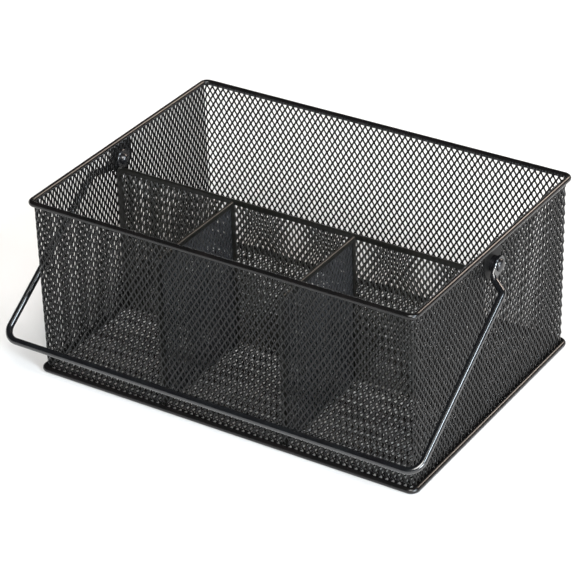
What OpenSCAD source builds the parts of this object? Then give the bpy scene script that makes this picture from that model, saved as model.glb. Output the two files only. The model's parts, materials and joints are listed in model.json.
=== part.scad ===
// Desk organizer: a rectangular basket of black diamond mesh between two wire rims,
// one long compartment behind three small ones, and a swinging wire bail handle.
// Millimetres. X runs along the length, -Y is the front, +Z is up. The origin is the
// middle of the plane that the base rim stands on.

/* [Basket] */
// Overall length over the rims
body_l = 299.5; // [240:0.5:360]
// Overall depth over the rims, front to back
body_w = 214.5; // [160:0.5:260]
// Overall height, from the standing plane to the top of the top rim
body_h = 134; // [110:0.5:180]
// Diameter of the wire of both rims
rim_d = 4.1; // [3:0.1:5]
// Outer corner radius of the rims, seen from above
corner_r = 6.6; // [6:0.1:12]
// Width of the flat on the underside of the base rim
foot_flat_w = 1.5; // [0.8:0.1:1.8]
// Height of the floor's underside above the standing plane
floor_lift = 2.6; // [2:0.1:4]
// How far the wall edges stop short of the top and the bottom of the basket
wall_edge_gap = 1.3; // [0.5:0.1:2]

/* [Mesh panels] */
// Thickness of a panel as a plain sheet with the metal of the open mesh
sheet_t = 0.3; // [0.2:0.05:0.5]
// Depth to which a panel's weld bites into a rim wire
weld_bite = 0.1; // [0.05:0.05:0.2]

/* [Dividers] */
// Height of the top of the long divider above the standing plane
rail_top = 116.4; // [80:0.2:120]
// How much lower the tops of the short dividers are
cross_drop = 1; // [0.5:0.1:2]
// Width of the folded channels that edge the dividers
rail_w = 2.6; // [2.4:0.1:4]
// Depth of the channels along the top edges
rail_h = 3.4; // [3:0.2:6]
// Depth of the channels that stand along the end edges
edge_depth = 4.6; // [3:0.2:6]
// Thickness of the metal that the channels are folded from
rail_t = 0.7; // [0.5:0.1:0.8]
// Distance of the long divider from the middle, towards the front
long_divider_offset = 9.9; // [-30:0.1:40]
// Distance of the short dividers from the middle, to the left and to the right
cross_x = 48; // [30:0.5:60]

/* [Pivots] */
// Distance of the pivot axis from the middle, towards the front
pivot_offset = 2; // [-10:0.5:10]
// Height of the pivot axis above the standing plane
pivot_z = 118.7; // [100:0.1:122]
// Half width of the outer pivot plates, which is the radius of their round bottom
plate_r = 11; // [9:0.5:14]
// Thickness of the outer pivot plates
plate_t = 1.2; // [0.8:0.1:1.6]
// Radius of the round washers inside the basket
washer_r = 7; // [6:0.5:9]
// Thickness of those washers
washer_t = 1; // [0.8:0.1:1.5]
// Radius of the spacers that hold the handle clear of the top rim
spacer_r = 5.5; // [4:0.5:6]
// Radius of a rivet's shank
shank_r = 2; // [1.5:0.1:2.5]
// Radial running clearance of the handle's eyes on the shanks
eye_clearance = 0.05; // [0.02:0.01:0.1]
// Axial play of a handle eye between its spacer and the rivet's head
eye_play = 0.15; // [0.1:0.05:0.3]
// Radius and height of the domed head outside the handle
outer_head = [4.4, 2.4];
// Radius and height of the domed head inside the basket
inner_head = [3.9, 3.2];

/* [Handle] */
// Diameter of the handle wire
handle_d = 4.9; // [4:0.1:6]
// Half the distance between the middles of the two straight arms
arm_x = 162.35; // [160:0.05:170]
// Distance from the pivot axis to the middle of the crossbar
handle_reach = 150.6; // [145:0.1:160]
// Bend radius of the corners between arms and crossbar, to the wire's middle
handle_bend = 10; // [8:0.5:20]
// Angle of the arms from hanging straight down, swung forward
handle_angle = 55.4; // [45:0.2:90]
// Radius of the flattened eyes
eye_r = 6.5; // [5.5:0.1:7]
// Thickness of the flattened eyes
eye_t = 2; // [1.6:0.1:2.4]
// Distance from the pivot axis to the start of the crank
crank_start = 9; // [8:0.5:12]
// Bend radius of the crank that takes each arm outward past the rim, to the wire's middle
crank_bend = 4; // [3.5:0.5:6]

/* [Hidden] */
$fn = 64;

wire_colour = "#1c1c1e";
mesh_colour = "#38383a";
trim_colour = "#26262a";

rim_r = rim_d / 2;
// The middle line of both rims: half length, half depth and corner radius.
ring_x = body_l / 2 - rim_r;
ring_y = body_w / 2 - rim_r;
ring_corner = corner_r - rim_r;
top_ring_z = body_h - rim_r;
// The base rim's middle is as high as leaves a flat of foot_flat_w at the standing plane.
base_ring_z = sqrt(rim_r * rim_r - foot_flat_w * foot_flat_w / 4);

// The panels lie inside the rims, biting into them by the depth of the weld.
wall_out_x = ring_x - rim_r + weld_bite;
wall_out_y = ring_y - rim_r + weld_bite;
wall_in_x = wall_out_x - sheet_t;
wall_in_y = wall_out_y - sheet_t;
wall_corner = ring_corner - rim_r + weld_bite;
wall_z0 = wall_edge_gap;
wall_z1 = body_h - wall_edge_gap;
floor_top = floor_lift + sheet_t;

// The dividers. A short divider's rail ends at the side of the long one's rail, and its
// back edge stands against the long divider's panel.
rail_round = rail_w / 2;
long_y = -long_divider_offset;
cross_top = rail_top - cross_drop;
cross_rail_back_y = long_y - rail_round;
cross_back_y = long_y - sheet_t / 2;
// Half the width of the slot in a channel, which holds the edge of a panel.
slot_half = rail_round - rail_t;

// The stack along a pivot axis, from inside the basket outward.
pivot_y = -pivot_offset;
hole_r = shank_r + eye_clearance;
plate_out_x = wall_out_x + plate_t;
// How far a plate reaches up into the fillet between the top rim and the wall.
plate_weld = 0.5;
// Gap between the outside of the top rim and the eye that swings past it.
rim_gap = 0.55;
eye_in_x = body_l / 2 + rim_gap;
eye_out_x = eye_in_x + eye_t;
spacer_out_x = eye_in_x - eye_play;
head_x = eye_out_x + eye_play;

handle_r = handle_d / 2;
// The wire leaves the eye with its inner side a little outside the eye's inner face.
wire_set_out = 0.2;
crank_x0 = eye_in_x + handle_r + wire_set_out;
crank_run = arm_x - crank_x0;
// The crank's straight middle leans as the long side of a triangle with sides 3, 4 and 5.
crank_angle = atan2(4, 3);
crank_sin = 0.8;
crank_cos = 0.6;
// Length of that straight middle, and the crank's whole length along the arm.
crank_straight = (crank_run - 2 * crank_bend * (1 - crank_cos)) / crank_sin;
crank_drop = 2 * crank_bend * crank_sin + crank_straight * crank_cos;
arm_start = crank_start + crank_drop;
// How far the round wire and the flattened neck overlap, and half the neck's width.
neck_overlap = 3;
neck_half = 4.2;

// A wire bent round a rectangle, lying flat with its middle line at height z.
module wire_ring(z) {
    straight_x = ring_x - ring_corner;
    straight_y = ring_y - ring_corner;
    translate([0, 0, z]) {
        for (side = [-1, 1]) {
            translate([-straight_x, side * ring_y, 0]) rotate([0, 90, 0]) cylinder(r = rim_r, h = 2 * straight_x);
            translate([side * ring_x, -straight_y, 0]) rotate([-90, 0, 0]) cylinder(r = rim_r, h = 2 * straight_y);
        }
        for (quarter = [0:3]) {
            sx = (quarter == 0 || quarter == 3) ? 1 : -1;
            sy = quarter < 2 ? 1 : -1;
            translate([sx * straight_x, sy * straight_y, 0]) rotate([0, 0, 90 * quarter])
                rotate_extrude(angle = 90) translate([ring_corner, 0]) circle(r = rim_r);
        }
    }
}

module top_rim_wire() {
    color(wire_colour) wire_ring(top_ring_z);
}

// The base rim is filed flat underneath, so that it stands on a face and not on a line.
module base_rim_wire() {
    color(wire_colour) difference() {
        wire_ring(base_ring_z);
        translate([-body_l, -body_w, -rim_d]) cube([2 * body_l, 2 * body_w, rim_d]);
    }
}

// A front or back wall: a flat sheet whose two ends are bent round the basket's corners.
module long_wall(side) {
    flat_x = wall_out_x - wall_corner;
    bend_y = wall_out_y - wall_corner;
    color(mesh_colour) {
        translate([-flat_x, side > 0 ? wall_in_y : -wall_out_y, wall_z0])
            cube([2 * flat_x, sheet_t, wall_z1 - wall_z0]);
        for (end = [-1, 1])
            translate([end * flat_x, side * bend_y, wall_z0]) wall_bend(end, side);
    }
}

// The quarter of a round bend that ends a front or back wall.
module wall_bend(end, side) {
    turn = side > 0 ? (end > 0 ? 0 : 90) : (end > 0 ? 270 : 180);
    rotate([0, 0, turn]) rotate_extrude(angle = 90)
        translate([wall_corner - sheet_t, 0]) square([sheet_t, wall_z1 - wall_z0]);
}

// An end wall, with the hole for the rivet.
module end_wall(side) {
    flat_y = wall_out_y - wall_corner;
    color(mesh_colour) difference() {
        translate([side > 0 ? wall_in_x : -wall_out_x, -flat_y, wall_z0])
            cube([sheet_t, 2 * flat_y, wall_z1 - wall_z0]);
        pivot_hole(side);
    }
}

// The rivet's hole through everything at one end of the basket.
module pivot_hole(side) {
    reach = 40;
    translate([side * body_l / 2, pivot_y, pivot_z]) rotate([0, 90, 0])
        cylinder(r = hole_r, h = reach, center = true);
}

module front_wall_mesh() {
    long_wall(-1);
}

module back_wall_mesh() {
    long_wall(1);
}

module left_wall_mesh() {
    end_wall(-1);
}

module right_wall_mesh() {
    end_wall(1);
}

module floor_mesh() {
    corner = wall_corner - sheet_t;
    color(mesh_colour) translate([0, 0, floor_lift]) linear_extrude(sheet_t) {
        square([2 * (wall_in_x - corner), 2 * wall_in_y], center = true);
        square([2 * wall_in_x, 2 * (wall_in_y - corner)], center = true);
        for (sx = [-1, 1], sy = [-1, 1])
            translate([sx * (wall_in_x - corner), sy * (wall_in_y - corner)]) circle(r = corner);
    }
}

// A rail of the given length along +X: a strip folded into a channel with a round back.
module rail(length) {
    color(trim_colour) rotate([90, 0, 90]) linear_extrude(length) difference() {
        union() {
            translate([0, -rail_round]) circle(r = rail_round);
            translate([-rail_round, -rail_h]) square([rail_w, rail_h - rail_round]);
        }
        translate([-slot_half, -rail_h - 1]) square([2 * slot_half, rail_h + 1 - rail_t]);
    }
}

// An upright channel of the given height, with its back on the Y axis and its mouth to +X.
module edge(height) {
    color(trim_colour) linear_extrude(height) difference() {
        translate([0, -rail_round]) square([edge_depth, rail_w]);
        translate([rail_t, -slot_half]) square([edge_depth, 2 * slot_half]);
    }
}

module long_divider_mesh() {
    color(mesh_colour) translate([rail_t - wall_in_x, long_y - sheet_t / 2, floor_top])
        cube([2 * (wall_in_x - rail_t), sheet_t, rail_top - rail_t - floor_top]);
}

module long_divider_rail() {
    translate([-wall_in_x, long_y, rail_top]) rail(2 * wall_in_x);
}

module long_divider_left_edge() {
    translate([-wall_in_x, long_y, floor_top]) edge(rail_top - rail_h - floor_top);
}

module long_divider_right_edge() {
    translate([wall_in_x, long_y, floor_top]) rotate([0, 0, 180]) edge(rail_top - rail_h - floor_top);
}

// The panel of a short divider, to the left or to the right of the middle.
module cross_mesh(side) {
    front_y = rail_t - wall_in_y;
    color(mesh_colour) translate([side * cross_x - sheet_t / 2, front_y, floor_top])
        cube([sheet_t, cross_rail_back_y - front_y, cross_top - rail_t - floor_top]);
}

module cross_rail(side) {
    translate([side * cross_x, -wall_in_y, cross_top]) rotate([0, 0, 90])
        rail(cross_rail_back_y + wall_in_y);
}

// The upright channel at the front end of a short divider.
module cross_front_edge(side) {
    translate([side * cross_x, -wall_in_y, floor_top]) rotate([0, 0, 90])
        edge(cross_top - rail_h - floor_top);
}

// The upright channel at the back end of a short divider.
module cross_back_edge(side) {
    translate([side * cross_x, cross_back_y, floor_top]) rotate([0, 0, -90])
        edge(cross_top - rail_h - floor_top);
}

module left_cross_mesh() {
    cross_mesh(-1);
}

module left_cross_rail() {
    cross_rail(-1);
}

module left_cross_front_edge() {
    cross_front_edge(-1);
}

module left_cross_back_edge() {
    cross_back_edge(-1);
}

module right_cross_mesh() {
    cross_mesh(1);
}

module right_cross_rail() {
    cross_rail(1);
}

module right_cross_front_edge() {
    cross_front_edge(1);
}

module right_cross_back_edge() {
    cross_back_edge(1);
}

// Places a shape drawn outward along +Z on the pivot axis, at distance x from the middle.
module at_pivot(side, x) {
    translate([side * x, pivot_y, pivot_z]) rotate([0, side * 90, 0]) children();
}

// The plate outside an end wall: square under the top rim, round below the pivot.
module pivot_plate(side) {
    plate_top = top_ring_z - rim_r + plate_weld - pivot_z;
    color(trim_colour) difference() {
        union() {
            at_pivot(side, wall_out_x) cylinder(r = plate_r, h = plate_t);
            translate([side > 0 ? wall_out_x : -plate_out_x, pivot_y - plate_r, pivot_z])
                cube([plate_t, 2 * plate_r, plate_top]);
        }
        pivot_hole(side);
        translate([-body_l, -body_w, pivot_z + plate_top]) cube([2 * body_l, 2 * body_w, plate_r]);
    }
}

module left_pivot_plate() {
    pivot_plate(-1);
}

module right_pivot_plate() {
    pivot_plate(1);
}

// The round washer inside an end wall.
module inner_washer(side) {
    color(trim_colour) difference() {
        at_pivot(side, wall_in_x - washer_t) cylinder(r = washer_r, h = washer_t);
        pivot_hole(side);
    }
}

module left_inner_washer() {
    inner_washer(-1);
}

module right_inner_washer() {
    inner_washer(1);
}

// The spacer between an outer plate and the handle's eye.
module spacer(side) {
    color(trim_colour) difference() {
        at_pivot(side, plate_out_x) cylinder(r = spacer_r, h = spacer_out_x - plate_out_x);
        pivot_hole(side);
    }
}

module left_spacer() {
    spacer(-1);
}

module right_spacer() {
    spacer(1);
}

// A domed head of radius size[0] and height size[1], with its flat side down.
module dome(size) {
    sphere_r = (size[0] * size[0] + size[1] * size[1]) / (2 * size[1]);
    rotate_extrude() intersection() {
        translate([0, size[1] - sphere_r]) circle(r = sphere_r, $fn = 128);
        square([size[0], size[1]]);
    }
}

// A rivet: a shank between a domed head inside the basket and one outside the handle.
module rivet(side) {
    inner_x = wall_in_x - washer_t;
    color(trim_colour) {
        at_pivot(side, inner_x) cylinder(r = shank_r, h = head_x - inner_x);
        at_pivot(side, head_x) dome(outer_head);
        at_pivot(side, inner_x) rotate([180, 0, 0]) dome(inner_head);
    }
}

module left_rivet() {
    rivet(-1);
}

module right_rivet() {
    rivet(1);
}

// A bend of the handle wire in the X-Z plane. It starts at [x, z] heading down, or heading
// down and outward by crank_angle, and turns by the given angle about a centre beside it.
module wire_bend(centre, radius, from, angle) {
    translate([centre[0], 0, centre[1]]) rotate([90, 0, 0]) rotate([0, 0, from])
        rotate_extrude(angle = angle) translate([radius, 0]) circle(r = handle_r, $fn = 32);
}

// A straight stretch of the handle wire in the X-Z plane, from one point to another.
module wire_run(start, end) {
    run = end - start;
    translate([start[0], 0, start[1]]) rotate([0, atan2(run[0], run[1]), 0])
        cylinder(r = handle_r, h = norm(run));
}

// The right half of the handle, hanging straight down from a pivot axis along X.
module handle_half() {
    first_end = [crank_x0 + crank_bend * (1 - crank_cos), -crank_start - crank_bend * crank_sin];
    second_start = [first_end[0] + crank_straight * crank_sin, first_end[1] - crank_straight * crank_cos];
    difference() {
        union() {
            translate([eye_in_x, 0, 0]) rotate([0, 90, 0]) cylinder(r = eye_r, h = eye_t);
            translate([eye_in_x, -neck_half, -crank_start - neck_overlap])
                cube([eye_t, 2 * neck_half, crank_start + neck_overlap]);
        }
        translate([eye_in_x - 1, 0, 0]) rotate([0, 90, 0]) cylinder(r = hole_r, h = eye_t + 2);
    }
    wire_run([crank_x0, neck_overlap - crank_start], [crank_x0, -crank_start]);
    wire_bend([crank_x0 + crank_bend, -crank_start], crank_bend, 180, crank_angle);
    wire_run(first_end, second_start);
    wire_bend([arm_x - crank_bend, -arm_start], crank_bend, 0, crank_angle);
    wire_run([arm_x, -arm_start], [arm_x, handle_bend - handle_reach]);
    wire_bend([arm_x - handle_bend, handle_bend - handle_reach], handle_bend, 270, 90);
    wire_run([0, -handle_reach], [arm_x - handle_bend, -handle_reach]);
}

module handle() {
    color(wire_colour) translate([0, pivot_y, pivot_z]) rotate([-handle_angle, 0, 0]) {
        handle_half();
        mirror([1, 0, 0]) handle_half();
    }
}

top_rim_wire();
base_rim_wire();
front_wall_mesh();
back_wall_mesh();
left_wall_mesh();
right_wall_mesh();
floor_mesh();
long_divider_mesh();
long_divider_rail();
long_divider_left_edge();
long_divider_right_edge();
left_cross_mesh();
left_cross_rail();
left_cross_front_edge();
left_cross_back_edge();
right_cross_mesh();
right_cross_rail();
right_cross_front_edge();
right_cross_back_edge();
left_pivot_plate();
right_pivot_plate();
left_inner_washer();
right_inner_washer();
left_spacer();
right_spacer();
left_rivet();
right_rivet();
handle();
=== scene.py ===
import json
import math

import bpy
import numpy as np
from mathutils import Matrix, Vector


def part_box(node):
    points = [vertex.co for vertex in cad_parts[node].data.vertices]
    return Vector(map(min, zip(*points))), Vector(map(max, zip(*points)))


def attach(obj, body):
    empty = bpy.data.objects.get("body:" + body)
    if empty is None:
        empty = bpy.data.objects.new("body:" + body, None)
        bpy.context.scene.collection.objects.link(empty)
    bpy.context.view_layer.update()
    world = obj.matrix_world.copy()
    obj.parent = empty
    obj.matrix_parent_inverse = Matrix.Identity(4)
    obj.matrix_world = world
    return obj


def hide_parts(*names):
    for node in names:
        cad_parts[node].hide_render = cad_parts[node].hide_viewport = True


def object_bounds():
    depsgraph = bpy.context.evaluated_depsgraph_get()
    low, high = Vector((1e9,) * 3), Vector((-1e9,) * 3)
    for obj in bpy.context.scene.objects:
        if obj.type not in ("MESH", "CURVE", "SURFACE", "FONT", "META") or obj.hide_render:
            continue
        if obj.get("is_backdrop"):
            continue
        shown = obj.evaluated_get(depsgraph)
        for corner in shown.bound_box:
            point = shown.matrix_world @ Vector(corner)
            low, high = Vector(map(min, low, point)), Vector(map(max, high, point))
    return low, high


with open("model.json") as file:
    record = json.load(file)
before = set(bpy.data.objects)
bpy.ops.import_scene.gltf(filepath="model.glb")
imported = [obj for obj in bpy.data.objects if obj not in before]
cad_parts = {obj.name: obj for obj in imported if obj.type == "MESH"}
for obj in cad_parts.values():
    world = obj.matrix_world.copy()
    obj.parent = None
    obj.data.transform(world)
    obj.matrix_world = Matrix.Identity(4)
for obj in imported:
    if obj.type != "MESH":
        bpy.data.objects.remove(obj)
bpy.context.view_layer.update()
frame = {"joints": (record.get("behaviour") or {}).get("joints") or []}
MM = 0.001

# Edges sharper than this many degrees shade sharp on the folded, turned and flattened pieces.
CREASE = 40
# Sides of the section of a round wire.
WIRE_SIDES = 28


# ---------------------------------------------------------------- what the frame says
def middle(node_name):
    """The middle of a CAD node's box."""
    low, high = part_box(node_name)
    return (low + high) / 2


# Outer corner radius of the rims, and half the thickness of the CAD's wall sheets.
CORNER_R = 6.6 * MM
SHEET_HALF = 0.15 * MM
top_low, top_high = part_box("top_rim_wire")
RIM_R = (top_high.z - top_low.z) / 2
RING_X = top_high.x - RIM_R
RING_Y = top_high.y - RIM_R
RING_CORNER = CORNER_R - RIM_R
TOP_Z = top_high.z - RIM_R
BASE_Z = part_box("base_rim_wire")[1].z - RIM_R
# Where the middles of the wall panels lie, and the radius at which they turn the corners.
WALL_X = middle("right_wall_mesh").x
WALL_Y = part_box("back_wall_mesh")[1].y - SHEET_HALF
WALL_BEND = 2.45 * MM
WALL_Z0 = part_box("front_wall_mesh")[0].z
WALL_Z1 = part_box("front_wall_mesh")[1].z
FLOOR_Z = middle("floor_mesh").z
LONG_Y = middle("long_divider_mesh").y
PIVOT = Vector(frame["joints"][0]["pos_m"])


# ---------------------------------------------------------------- materials
# Scales of the coat's clouds and of its orange peel, and the peel's depth in metres.
CLOUD_SCALE = 60.0
PEEL_SCALE = 900.0
PEEL_DEPTH = 0.0002


def node(tree, kind, **inputs):
    """A new shader node with the given input values."""
    made = tree.nodes.new(kind)
    for key, value in inputs.items():
        made.inputs[key.replace("_", " ")].default_value = value
    return made


def coat(name, dark, light, rough, specular, bump=0.12):
    """Black powder coat: two near-black tones, uneven gloss and a fine orange-peel skin."""
    material = bpy.data.materials.new(name)
    material.use_nodes = True
    tree = material.node_tree
    shader = tree.nodes["Principled BSDF"]
    shader.inputs["Specular IOR Level"].default_value = specular
    place = tree.nodes.new("ShaderNodeTexCoord")
    cloud = node(tree, "ShaderNodeTexNoise", Scale=CLOUD_SCALE, Detail=3.0)
    tree.links.new(place.outputs["Object"], cloud.inputs["Vector"])
    tones = tree.nodes.new("ShaderNodeValToRGB")
    tones.color_ramp.elements[0].position = 0.35
    tones.color_ramp.elements[0].color = (*dark, 1)
    tones.color_ramp.elements[1].position = 0.7
    tones.color_ramp.elements[1].color = (*light, 1)
    tree.links.new(cloud.outputs["Fac"], tones.inputs["Fac"])
    tree.links.new(tones.outputs["Color"], shader.inputs["Base Color"])
    peel = node(tree, "ShaderNodeTexNoise", Scale=PEEL_SCALE, Detail=2.0)
    tree.links.new(place.outputs["Object"], peel.inputs["Vector"])
    gloss = node(tree, "ShaderNodeMapRange", To_Min=rough[0], To_Max=rough[1])
    tree.links.new(peel.outputs["Fac"], gloss.inputs["Value"])
    tree.links.new(gloss.outputs["Result"], shader.inputs["Roughness"])
    skin = node(tree, "ShaderNodeBump", Strength=bump, Distance=PEEL_DEPTH)
    tree.links.new(peel.outputs["Fac"], skin.inputs["Height"])
    tree.links.new(skin.outputs["Normal"], shader.inputs["Normal"])
    return material


MESH = coat("mesh_coat", (0.002, 0.002, 0.002), (0.005, 0.005, 0.005), (0.14, 0.22), 0.42)
# The short dividers' panels wear the walls' black coat with a lighter, bluish base. This is painted light,
# standing in for the side light that falls on them.
CROSS_MESH_PAINTED_LIGHT = coat("cross_mesh_painted_light_coat", (0.01, 0.011, 0.013), (0.02, 0.022, 0.026), (0.3, 0.4), 1.0)
# The long divider's panel wears the walls' black coat with a lighter, warmer base. This is painted light,
# standing in for the light the divider shows.
LONG_MESH_PAINTED_LIGHT = coat("long_mesh_painted_light_coat", (0.005, 0.005, 0.004), (0.014, 0.014, 0.011), (0.26, 0.36), 0.9)
RIM = coat("rim_coat", (0.002, 0.002, 0.002), (0.005, 0.004, 0.004), (0.2, 0.3), 0.5, bump=0.03)
WIRE = coat("handle_coat", (0.002, 0.002, 0.003), (0.005, 0.006, 0.007), (0.14, 0.22), 1.0, bump=0.02)
TRIM = coat("divider_coat", (0.003, 0.003, 0.002), (0.006, 0.006, 0.005), (0.28, 0.4), 0.5, bump=0.04)
PIVOTS = coat("pivot_coat", (0.003, 0.003, 0.004), (0.008, 0.008, 0.009), (0.2, 0.3), 0.8, bump=0.04)
PLATE = coat("plate_coat", (0.003, 0.003, 0.003), (0.007, 0.007, 0.007), (0.45, 0.55), 0.15, bump=0.04)


# ---------------------------------------------------------------- building meshes
def add(name, verts, faces, material, body, nodes, crease=None):
    """Makes one piece that rides a body. Its faces are turned outward, and all shade smooth except
    across edges sharper than crease degrees."""
    data = bpy.data.meshes.new(name)
    verts = np.asarray(verts, float)
    faces = np.asarray(faces, np.int32)
    first, second, third = (verts[faces[:, i]] - verts[0] for i in range(3))
    if np.einsum("ij,ij->", first, np.cross(second, third)) < 0:
        faces = faces[:, ::-1]
    data.vertices.add(len(verts))
    data.vertices.foreach_set("co", verts.astype(np.float32).ravel())
    data.loops.add(faces.size)
    data.loops.foreach_set("vertex_index", faces.ravel())
    data.polygons.add(len(faces))
    starts = np.arange(0, faces.size, faces.shape[1], dtype=np.int32)
    data.polygons.foreach_set("loop_start", starts)
    data.polygons.foreach_set("use_smooth", np.full(len(faces), True))
    data.update(calc_edges=True)
    if crease is not None:
        data.set_sharp_from_angle(angle=math.radians(crease))
    obj = bpy.data.objects.new(name, data)
    bpy.context.scene.collection.objects.link(obj)
    data.materials.append(material)
    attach(obj, body)
    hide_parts(*nodes)


def sweep(rings, closed=False):
    """Joins equal rings of points into a skin of four-sided faces, open at its ends or closed on itself."""
    rings = np.asarray(rings, float)
    count, around = rings.shape[:2]
    verts = rings.reshape(-1, 3)
    faces = []
    for i in range(count if closed else count - 1):
        a = i * around
        b = (i + 1) % count * around
        for k in range(around):
            faces.append((a + k, a + (k + 1) % around, b + (k + 1) % around, b + k))
    return verts, faces


def caps(verts, faces, around):
    """Closes both ends of an open sweep with four-sided faces round a point in the middle of each."""
    first = verts[:around].mean(0)
    last = verts[-around:].mean(0)
    n = len(verts)
    verts = np.vstack([verts, first, last])
    end = n - around
    for k in range(0, around, 2):
        faces.append((n, (k + 2) % around, (k + 1) % around, k))
        faces.append((n + 1, end + k, end + (k + 1) % around, end + (k + 2) % around))
    return verts, faces


def circle(radius, around):
    """Points round a circle in a plane."""
    angles = np.arange(around) * 2 * math.pi / around
    return np.stack([np.cos(angles), np.sin(angles)], 1) * radius


def rounded_loop(half_x, half_y, corner, z, steps=14):
    """Points round a rectangle with round corners, with the outward direction at each."""
    points, out = [], []
    for quarter, (sx, sy) in enumerate(((1, 1), (-1, 1), (-1, -1), (1, -1))):
        for i in range(steps + 1):
            a = (quarter + i / steps) * math.pi / 2
            way = np.array([math.cos(a), math.sin(a), 0])
            centre = np.array([sx * (half_x - corner), sy * (half_y - corner), z])
            points.append(centre + corner * way)
            out.append(way)
    return np.array(points), np.array(out)


def ring_wire(name, z, flat, node_name):
    """A round wire bent into a rectangle at height z, and cut flat below height flat."""
    points, out = rounded_loop(RING_X, RING_Y, RING_CORNER, z)
    profile = circle(RIM_R, WIRE_SIDES)
    rings = []
    for p, o in zip(points, out):
        ring = p + profile[:, :1] * o + profile[:, 1:] * np.array([0, 0, 1.0])
        ring[:, 2] = np.maximum(ring[:, 2], flat)
        rings.append(ring)
    verts, faces = sweep(rings, closed=True)
    add(name, verts, faces, RIM, "basket", [node_name])


ring_wire("top_rim", TOP_Z, 0.0, "top_rim_wire")
ring_wire("base_rim", BASE_Z, 0.0, "base_rim_wire")

# ---------------------------------------------------------------- expanded metal
# Width of a diamond, and half its height.
PITCH = 4.6 * MM
ROW = 3.625 * MM
# Width and thickness of a strand, and the height over which two ribbons are joined.
STRAND_W = 1.12 * MM
STRAND_T = 1.0 * MM
BOND = 1.0 * MM
# How far the strands of each panel are turned about the upright, in degrees.
TILT = 28
SIDE_TILT = -8
DIVIDER_TILT = -30
FLOOR_TILT = -28
# Sections of a strand, in half widths and half thicknesses.
ROUNDED = [
    (-1.06, -0.45), (-0.76, -1), (0.76, -1), (1.06, -0.45),
    (1.06, 0.45), (0.76, 1), (-0.76, 1), (-1.06, 0.45),
]
SIX_SIDED = [(-1.06, 0), (-0.7, -1), (0.7, -1), (1.06, 0), (0.7, 1), (-0.7, 1)]
# The floor is rolled flatter than the walls, and its mesh ends short of the CAD's sheet all round.
FLOOR_ROLLED = 0.55
FLOOR_MARGIN = 1 * MM


def ribbon_sections(v, u, d, section):
    """Sections along a ribbon whose middle runs through heights v, places along u and depths d. Each
    stands square to the ribbon's run, mitred where it bends and level at the ribbon's two ends."""
    run = np.stack([np.diff(u), np.diff(v)], 1)
    run /= np.linalg.norm(run, axis=1)[:, None]
    square = np.stack([run[:, 1], -run[:, 0]], 1)
    mitre = np.vstack([(1, 0), square]) + np.vstack([square, (1, 0)])
    mitre[0] = mitre[-1] = (1, 0)
    mitre /= np.linalg.norm(mitre, axis=1)[:, None]
    beside = np.vstack([square[:1], square])
    mitre /= (mitre * beside).sum(1)[:, None]
    return (
        u[:, None] + section[None, :, 0] * mitre[:, :1],
        d[:, None] + section[None, :, 1],
        v[:, None] + section[None, :, 0] * mitre[:, 1:],
    )


def ribbon_faces(count, around):
    """Faces of a ribbon of count sections with around points each, its two ends closed."""
    low = np.arange(count - 1)[:, None] * around
    this = np.arange(around)[None, :]
    other = (this + 1) % around
    skin = np.stack([low + this, low + other, low + around + other, low + around + this], -1)
    end = np.array([(0, i + 1, i, i - 1) for i in range(2, around, 2)])
    return np.vstack([skin.reshape(-1, 4), end, (count - 1) * around + end[:, ::-1]])


def expanded(name, place, length, v0, v1, node_name, tilt=TILT, shape=ROUNDED, material=MESH):
    """A panel of expanded metal. Upright ribbons zigzag between their neighbours, and each is joined
    to its left and to its right neighbour in turn. place maps (along, depth, height) to the frame."""
    profile = np.array(shape) * (STRAND_W / 2, STRAND_T / 2)
    c, s = math.cos(math.radians(tilt)), math.sin(math.radians(tilt))
    section = profile @ np.array([(c, s), (-s, c)])
    half_u, half_d = STRAND_W / 2 * c, STRAND_W / 2 * s
    rows = np.arange(math.floor(v0 / ROW) - 1, math.ceil(v1 / ROW) + 2)
    heights = np.array([row * ROW + half for row in rows for half in (-BOND / 2, BOND / 2)])
    v = np.concatenate([[v0], heights[(heights > v0) & (heights < v1)], [v1]])
    # An even number of ribbons, so that panels that meet at a corner also bond there.
    count = 2 * round(length / PITCH)
    step = length / count
    one = ribbon_faces(len(v), len(profile))
    verts, faces = [], []
    for k in range(count):
        # The neighbour that the ribbon leans to in each row: 1 for the one to the right.
        lean = np.repeat(np.where((k + rows) % 2 == 0, 1, -1), 2)
        along = (k + 0.5) * step - length / 2 + lean * (step / 2 - half_u)
        u = np.interp(v, heights, along)
        d = np.interp(v, heights, -lean * half_d)
        verts.append(place(*ribbon_sections(v, u, d, section)).reshape(-1, 3))
        faces.append(one + k * len(verts[0]))
    add(name, np.vstack(verts), np.vstack(faces), material, "basket", [node_name])


def on_y(sign):
    """Places a front or back wall, wrapped round the basket's corners, and says how long it is. It
    runs to the right as seen from outside."""
    flat = WALL_X - WALL_BEND

    def place(u, d, v):
        angle = np.clip(np.abs(u) - flat, 0, None) / WALL_BEND
        x = np.sign(u) * (np.minimum(np.abs(u), flat) + (WALL_BEND + d) * np.sin(angle))
        y = (WALL_Y - WALL_BEND) + (WALL_BEND + d) * np.cos(angle)
        return np.stack([-sign * x, sign * y, v], -1)

    return place, 2 * (flat + WALL_BEND * math.pi / 2)


def on_x(sign):
    """Places an end wall, and says how long it is."""

    def place(u, d, v):
        return np.stack([sign * (WALL_X + d), sign * u, v], -1)

    return place, 2 * (WALL_Y - WALL_BEND)


for label, (place, length), tilt in (
    ("front", on_y(-1), TILT),
    ("back", on_y(1), TILT),
    ("left", on_x(-1), TILT),
    ("right", on_x(1), SIDE_TILT),
):
    expanded(f"{label}_mesh", place, length, WALL_Z0, WALL_Z1, f"{label}_wall_mesh", tilt)


def along_divider(u, d, v):
    """Places the long divider's panel, its depth to the front."""
    return np.stack([u, LONG_Y - d, v], -1)


low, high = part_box("long_divider_mesh")
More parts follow.
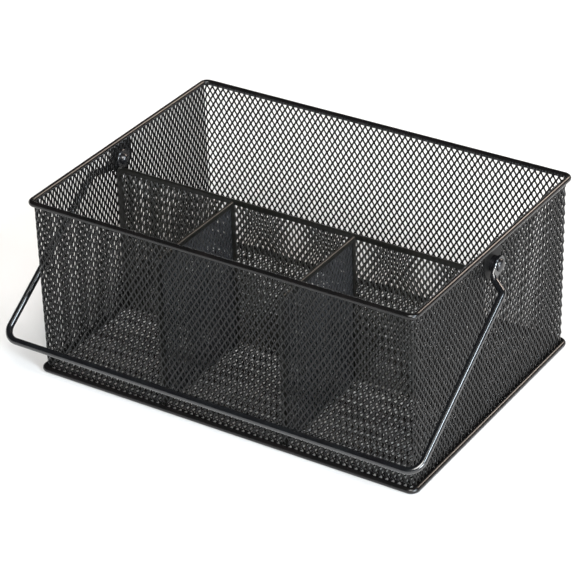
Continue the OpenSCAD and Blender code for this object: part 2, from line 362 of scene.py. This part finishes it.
# The long divider's coat carries painted light in its lighter, warmer base.
expanded(
    "long_divider_panel", along_divider, high.x - low.x, low.z, high.z,
    "long_divider_mesh", DIVIDER_TILT, material=LONG_MESH_PAINTED_LIGHT,
)


def across_at(centre):
    """Places a short divider's panel round the given point, its depth to the right."""

    def place(u, d, v):
        return np.stack([centre.x + d, centre.y + u, v], -1)

    return place


for label in ("left", "right"):
    cross = f"{label}_cross_mesh"
    low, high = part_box(cross)
    # The short dividers' coat carries painted light in its lighter, bluish base.
    expanded(
        f"{label}_cross_panel", across_at(middle(cross)), high.y - low.y, low.z, high.z,
        cross, SIDE_TILT, material=CROSS_MESH_PAINTED_LIGHT,
    )


def on_floor(u, d, v):
    """Places the floor's panel, its ribbons running from front to back."""
    return np.stack([u, v, FLOOR_Z + d * FLOOR_ROLLED], -1)


low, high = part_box("floor_mesh")
expanded(
    "floor_panel", on_floor, high.x - low.x - 2 * FLOOR_MARGIN, low.y + FLOOR_MARGIN, high.y - FLOOR_MARGIN,
    "floor_mesh", FLOOR_TILT, SIX_SIDED,
)


# ---------------------------------------------------------------- folded channels
RAIL_W = 2.6 * MM
RAIL_H = 3.4 * MM
RAIL_T = 0.7 * MM
# Radius at which a rail turns down the corner of the long divider or of a short one.
LONG_BEND = 8 * MM
SHORT_BEND = 5 * MM
UP = Vector((0, 0, 1))


def channel_profile(depth, steps=16):
    """The section of a folded channel, with a round back at depth 0 and its mouth at the given depth."""
    r = RAIL_W / 2
    q = r - RAIL_T
    turn = np.linspace(0, math.pi, steps + 1)
    outer = [(-r, depth)] + [(-r * math.cos(a), r - r * math.sin(a)) for a in turn] + [(r, depth)]
    inner = [(q, depth)] + [(q * math.cos(a), r - q * math.sin(a)) for a in turn] + [(-q, depth)]
    return np.array(outer + inner)


def channel(name, points, backs, across, depth, node_name):
    """A channel whose back runs along points; backs holds the way its back faces at each."""
    profile = channel_profile(depth)
    rings = [
        p - profile[:, 1:] * b + profile[:, :1] * np.array(across)
        for p, b in zip(np.array(points), np.array(backs))
    ]
    verts, faces = sweep(rings)
    around = len(profile)
    # Each end is closed between the outer and the inner half of the section.
    end = (len(rings) - 1) * around
    for k in range(around // 2 - 1):
        faces.append((k + 1, k, around - 1 - k, around - 2 - k))
        faces.append((end + k, end + k + 1, end + around - 2 - k, end + around - 1 - k))
    add(name, verts, faces, TRIM, "basket", [node_name], crease=CREASE)


def turned_down(corner, way, bend, top):
    """Points and back directions up the bend that starts a rail at corner and heads along way."""
    centre = corner + way * bend + UP * (top - bend)
    backs = [-way * math.cos(a) + UP * math.sin(a) for a in np.linspace(0, math.pi / 2, 9)]
    return [centre + back * bend for back in backs], backs


def bent_rail(name, start, end, top, node_name, bend, both):
    """A rail along the top of a divider, turned down round the corner at its start, or at both ends."""
    way = (end - start).normalized()
    points, backs = turned_down(start, way, bend, top)
    if both:
        end_points, end_backs = turned_down(end, -way, bend, top)
        points += end_points[::-1]
        backs += end_backs[::-1]
    else:
        points.append(end + UP * top)
        backs.append(UP)
    channel(name, points, backs, way.cross(UP), RAIL_H, node_name)


def upright(name, foot, head_z, back, across, depth, node_name):
    """An upright channel from its foot to height head_z."""
    head = Vector((foot.x, foot.y, head_z))
    channel(name, [foot, head], [back, back], across, depth, node_name)


low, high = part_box("long_divider_rail")
start, end = Vector((low.x, LONG_Y, 0)), Vector((high.x, LONG_Y, 0))
bent_rail("long_rail", start, end, high.z, "long_divider_rail", LONG_BEND, both=True)
for label, way in (("left", 1), ("right", -1)):
    edge = f"long_divider_{label}_edge"
    edge_low, edge_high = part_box(edge)
    foot = Vector((edge_low.x if way > 0 else edge_high.x, LONG_Y, edge_low.z))
    depth = edge_high.x - edge_low.x
    upright(f"long_{label}_upright", foot, high.z - LONG_BEND, Vector((-way, 0, 0)), (0, 1, 0), depth, edge)

for label in ("left", "right"):
    low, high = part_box(f"{label}_cross_rail")
    x = (low.x + high.x) / 2
    start, end = Vector((x, low.y, 0)), Vector((x, high.y, 0))
    bent_rail(f"{label}_short_rail", start, end, high.z, f"{label}_cross_rail", SHORT_BEND, both=False)
    for place, way in (("front", 1), ("back", -1)):
        edge = f"{label}_cross_{place}_edge"
        edge_low, edge_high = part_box(edge)
        foot = Vector((x, edge_low.y if way > 0 else edge_high.y, edge_low.z))
        head_z = high.z - SHORT_BEND if place == "front" else edge_high.z
        depth = edge_high.y - edge_low.y
        upright(f"{label}_short_{place}_upright", foot, head_z, Vector((0, -way, 0)), (1, 0, 0), depth, edge)


# ---------------------------------------------------------------- pivots
HOLE_R = 2.05 * MM
SHANK_R = 2.0 * MM
INNER_HEAD_R = 3.9 * MM
WIRE_R = 2.45 * MM
EYE_R = 6.5 * MM
EYE_T = 2.0 * MM
EYE_PLAY = 0.15 * MM
# How far the edges of the turned pieces and the plates are broken, and those of the eyes.
SOFT = 0.3 * MM
EYE_SOFT = 0.35 * MM


def lathe(name, profile, side, node_name, bored, around=40):
    """Turns (radius, x) pairs round the pivot axis. A bored piece closes on itself; another is capped."""
    angles = np.arange(around) * 2 * math.pi / around
    rings = [
        [(side * x, PIVOT.y + r * math.cos(a), PIVOT.z + r * math.sin(a)) for a in angles]
        for r, x in profile
    ]
    verts, faces = sweep(rings, closed=bored)
    if not bored:
        verts, faces = caps(verts, faces, around)
    add(name, verts, faces, PIVOTS, "basket", [node_name], crease=CREASE)


def holed_plate(outline, hole, inner_x, outer_x, bevel):
    """A flat plate with a round hole, as rings of (x, across, up) points. The outline runs round
    the hole's middle."""
    outline = np.array(outline)
    angles = np.arctan2(outline[:, 1], outline[:, 0])
    bore = np.stack([np.cos(angles), np.sin(angles)], 1) * hole
    inset = outline * (1 - bevel / np.linalg.norm(outline, axis=1))[:, None]
    layers = [
        (bore, inner_x), (inset, inner_x), (outline, inner_x + bevel),
        (outline, outer_x - bevel), (inset, outer_x), (bore, outer_x),
    ]
    return [np.column_stack([np.full(len(points), x), points]) for points, x in layers]


def dome(radius, height, base, way):
    """The outline of a rivet head, from its rim to just short of its top."""
    turn = np.linspace(0, math.pi / 2 * 0.97, 10)
    return [(radius * math.cos(a), base + way * height * math.sin(a)) for a in turn]


def span(node_name):
    """The nearest and the furthest x of a pivot's piece from the basket's middle, and its radius."""
    low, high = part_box(node_name)
    near, far = sorted((abs(low.x), abs(high.x)))
    return near, far, (high.y - low.y) / 2


def plate_outline(radius, top):
    """A pivot plate round the pivot axis: round below, square above up to the given height."""
    outline = [(-radius * math.cos(a), -radius * math.sin(a)) for a in np.linspace(0, math.pi, 32)]
    outline += [(radius, top * i / 5) for i in range(1, 6)]
    outline += [(radius * (1 - i / 10), top) for i in range(1, 21)]
    outline += [(-radius, top * i / 5) for i in range(4, 0, -1)]
    return outline


# How far from the middle the handle's eyes and the outer heads of the rivets begin.
EYE_INNER = span("right_spacer")[1] + EYE_PLAY
HEAD_BASE = EYE_INNER + EYE_T + EYE_PLAY

for label, side in (("left", -1), ("right", 1)):
    near, far, radius = span(f"{label}_inner_washer")
    profile = [(HOLE_R, far), (radius, far), (radius, near + SOFT), (radius - SOFT, near), (HOLE_R, near)]
    lathe(f"{label}_washer", profile, side, f"{label}_inner_washer", bored=True)
    inner_base = near
    near, far, radius = span(f"{label}_spacer")
    profile = [(HOLE_R, far), (radius - SOFT, far), (radius, far - SOFT), (radius, near), (HOLE_R, near)]
    lathe(f"{label}_spacer_ring", profile, side, f"{label}_spacer", bored=True)
    near, far, radius = span(f"{label}_rivet")
    profile = dome(INNER_HEAD_R, inner_base - near, inner_base, -1)[::-1]
    profile += [(SHANK_R, inner_base), (SHANK_R, HEAD_BASE)]
    profile += dome(radius, far - HEAD_BASE, HEAD_BASE, 1)
    lathe(f"{label}_rivet_body", profile, side, f"{label}_rivet", bored=False)
    plate = f"{label}_pivot_plate"
    near, far, radius = span(plate)
    outline = plate_outline(radius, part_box(plate)[1].z - PIVOT.z)
    rings = holed_plate(outline, HOLE_R, near, far, SOFT)
    rings = [ring * (side, 1, 1) + (0, PIVOT.y, PIVOT.z) for ring in rings]
    verts, faces = sweep(rings, closed=True)
    add(f"{label}_plate", verts, faces, PLATE, "basket", [plate], crease=CREASE)


# ---------------------------------------------------------------- handle
HANDLE_BEND = 10 * MM
# The crank that takes each arm outward past the rim: where it starts, its bends and its turn. The
# wire leaves the eye with its inner side SET_OUT outside the eye's inner face.
CRANK_START = 9 * MM
CRANK_BEND = 4 * MM
CRANK_TURN = math.atan2(4, 3)
SET_OUT = 0.2 * MM
# The flattened end inside an eye, in mm: set-out of the wire's middle from the eye's, distance from
# the pivot axis, half width and half thickness.
FLAT_END = [(0, 6.6, 3.6, 0.8), (0.25, 7.8, 3.9, 1.1), (0.8, 8.9, 3.6, 1.6)]
# The neck of an eye below the pivot axis, in mm: half width and height.
NECK = [(4.4, -5.6), (4.1, -7.2), (3.7, -8.8), (3.0, -10.2), (1.7, -11.0)]
NECK_END = -11.2


def arm_stations(reach, arm_x):
    """Stations of the wire down the right arm to the crossbar's middle: x, distance from the pivot
    axis, half width along the eye's face and half thickness across it."""
    stations = [
        (EYE_INNER + EYE_T / 2 + out * MM, s * MM, width * MM, thick * MM)
        for out, s, width, thick in FLAT_END
    ]
    crank_x = EYE_INNER + WIRE_R + SET_OUT
    # The first bend, over which the wire grows from flat to round.
    for i, a in enumerate(np.linspace(0.2, 1, 6) * CRANK_TURN):
        grow = (i + 1) / 6
        x = crank_x + CRANK_BEND * (1 - math.cos(a)) - (1 - grow) * 0.5 * MM
        s = CRANK_START + CRANK_BEND * math.sin(a)
        stations.append((x, s, (3.3 - 0.85 * grow) * MM, (1.85 + 0.6 * grow) * MM))
    run = arm_x - crank_x - 2 * CRANK_BEND * (1 - math.cos(CRANK_TURN))
    straight = run / math.sin(CRANK_TURN)
    second = CRANK_START + CRANK_BEND * math.sin(CRANK_TURN) + straight * math.cos(CRANK_TURN)
    for a in np.linspace(1, 0, 8) * CRANK_TURN:
        s = second + CRANK_BEND * (math.sin(CRANK_TURN) - math.sin(a))
        stations.append((arm_x - CRANK_BEND * (1 - math.cos(a)), s, WIRE_R, WIRE_R))
    for a in np.linspace(0, math.pi / 2, 13):
        s = reach - HANDLE_BEND + HANDLE_BEND * math.sin(a)
        stations.append((arm_x - HANDLE_BEND * (1 - math.cos(a)), s, WIRE_R, WIRE_R))
    stations.append((0.0, reach, WIRE_R, WIRE_R))
    return np.array(stations)


def bail_wire(reach, arm_x):
    """The wire from one eye round to the other, hanging straight down from the pivot axis."""
    right = arm_stations(reach, arm_x)
    path = np.vstack([right, right[::-1][1:] * (-1, 1, 1, 1)])
    profile = circle(1.0, WIRE_SIDES)
    tangents = np.gradient(path[:, :2], axis=0)
    tangents[:2] = (0, 1)
    tangents[-2:] = (0, -1)
    rings = []
    for (x, s, width, thick), tangent in zip(path, tangents):
        tangent = tangent / np.linalg.norm(tangent)
        # Where it is flattened, the section is a rounded slab rather than an ellipse.
        power = 1 - 0.55 * max(0, 1 - thick / width)
        flat = np.sign(profile) * np.abs(profile) ** power * (thick, width)
        z = -(s - tangent[0] * flat[:, 0])
        rings.append(np.stack([x + tangent[1] * flat[:, 0], flat[:, 1], z], 1))
    return caps(*sweep(rings), WIRE_SIDES)


def eye_rings():
    """The drilled eye at the right end, round above and narrowing below to the wire."""
    turn = np.linspace(math.radians(-42), math.radians(222), 45)
    outline = [(EYE_R * math.cos(a), EYE_R * math.sin(a)) for a in turn]
    outline += [(-y * MM, z * MM) for y, z in NECK] + [(0, NECK_END * MM)]
    outline += [(y * MM, z * MM) for y, z in NECK[::-1]]
    return holed_plate(outline, HOLE_R, EYE_INNER, EYE_INNER + EYE_T, EYE_SOFT)


def handle():
    """The bail: a round wire, cranked in at both ends, flattened there and drilled for the rivets."""
    low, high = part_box("handle")
    drop_y = PIVOT.y - low.y - WIRE_R
    drop_z = PIVOT.z - low.z - WIRE_R
    reach = math.hypot(drop_y, drop_z)
    verts, faces = bail_wire(reach, high.x - WIRE_R)
    faces = [np.array(faces)]
    eye = eye_rings()
    for side in (1, -1):
        eye_verts, eye_faces = sweep([ring * (side, 1, 1) for ring in eye], closed=True)
        eye_faces = np.array(eye_faces)
        # The right eye's faces are turned round, so that both eyes agree with the wire.
        if side > 0:
            eye_faces = eye_faces[:, ::-1]
        faces.append(eye_faces + len(verts))
        verts = np.vstack([verts, eye_verts])
    # From hanging straight down to where the handle rests.
    c, s = drop_z / reach, drop_y / reach
    y = PIVOT.y + verts[:, 1] * c + verts[:, 2] * s
    z = PIVOT.z - verts[:, 1] * s + verts[:, 2] * c
    turned = np.stack([verts[:, 0], y, z], 1)
    add("bail_handle", turned, np.vstack(faces), WIRE, "handle", ["handle"], crease=CREASE)


handle()

# ---------------------------------------------------------------- studio
# A round floor with a low backdrop far out, so that a level view sees no edge.
FLOOR_R = 12.0
BACKDROP_H = 1.2
TURNS = 64
# The floor lies a hair below the standing plane, so that the two don't coincide.
FLOOR_DROP = 0.0002

turn = np.linspace(0, 2 * math.pi, TURNS, endpoint=False)
points = [(FLOOR_R * math.cos(t), FLOOR_R * math.sin(t), z) for z in (0, BACKDROP_H) for t in turn]
backdrop = [(i, (i + 1) % TURNS, TURNS + (i + 1) % TURNS, TURNS + i) for i in range(TURNS)]
floor_data = bpy.data.meshes.new("studio_floor")
floor_data.from_pydata(points, [], [tuple(range(TURNS))] + backdrop)
floor = bpy.data.objects.new("studio_floor", floor_data)
bpy.context.scene.collection.objects.link(floor)
floor.location.z = -FLOOR_DROP
paper = bpy.data.materials.new("studio_paper")
paper.use_nodes = True
paper_shader = paper.node_tree.nodes["Principled BSDF"]
paper_shader.inputs["Base Color"].default_value = (0.86, 0.86, 0.86, 1)
paper_shader.inputs["Roughness"].default_value = 0.9
paper_shader.inputs["Specular IOR Level"].default_value = 0.1
floor_data.materials.append(paper)
floor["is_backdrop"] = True

world = bpy.data.worlds.new("studio")
bpy.context.scene.world = world
world.use_nodes = True
world.node_tree.nodes["Background"].inputs["Color"].default_value = (1, 1, 1, 1)
world.node_tree.nodes["Background"].inputs["Strength"].default_value = 0.05

# The softboxes point at the middle of the basket.
AIM = Vector((0, 0, 0.07))


def lamp(name, kind, way, energy, colour):
    """A lamp that shines along way."""
    light = bpy.data.lights.new(name, kind)
    light.energy = energy
    light.color = colour
    obj = bpy.data.objects.new(name, light)
    obj.rotation_euler = way.to_track_quat("-Z", "Y").to_euler()
    bpy.context.scene.collection.objects.link(obj)
    return obj


def softbox(name, where, size, power, colour):
    """A rectangular lamp at a place in metres."""
    obj = lamp(name, "AREA", AIM - Vector(where), power, colour)
    obj.location = where
    obj.data.shape = "RECTANGLE"
    obj.data.size, obj.data.size_y = size


def sun(name, where, strength, spread, colour):
    """A far lamp in the direction where, as wide as spread degrees."""
    lamp(name, "SUN", -Vector(where), strength, colour).data.angle = math.radians(spread)


sun("key_light", (0.5, -1.1, 1.35), 3.6, 35, (1.0, 0.985, 0.96))
sun("side_light", (0.8, -0.1, 0.6), 1.5, 16, (0.8, 0.91, 1.0))
softbox("low_light", (1.45, -0.75, 0.36), (0.7, 0.4), 26, (0.86, 0.93, 1.0))
softbox("back_glow", (0.45, 1.3, 1.15), (0.6, 0.5), 12, (1.0, 0.84, 0.72))

# ---------------------------------------------------------------- camera
# The camera looks at a point given in shares of the model's box, from this direction and distance.
TARGET_SHARES = (0.462, 0.545, 0.387)
AZIMUTH, ELEVATION, ROLL = math.radians(33.26), math.radians(30.63), math.radians(-1.726)
DISTANCE = 1.7694
LENS = 161.2

low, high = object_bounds()
target = Vector(low[i] + (high[i] - low[i]) * share for i, share in enumerate(TARGET_SHARES))
forward = Vector((
    -math.sin(AZIMUTH) * math.cos(ELEVATION),
    math.cos(AZIMUTH) * math.cos(ELEVATION),
    -math.sin(ELEVATION),
))
camera_data = bpy.data.cameras.new("camera")
camera_data.lens = LENS
camera_data.sensor_width = 36
camera = bpy.data.objects.new("camera", camera_data)
bpy.context.scene.collection.objects.link(camera)
camera.location = target - forward * DISTANCE
facing = forward.to_track_quat("-Z", "Y").to_matrix()
camera.rotation_euler = (facing @ Matrix.Rotation(ROLL, 3, "Z")).to_euler()
bpy.context.scene.camera = camera
bpy.context.scene.view_settings.view_transform = "Standard"
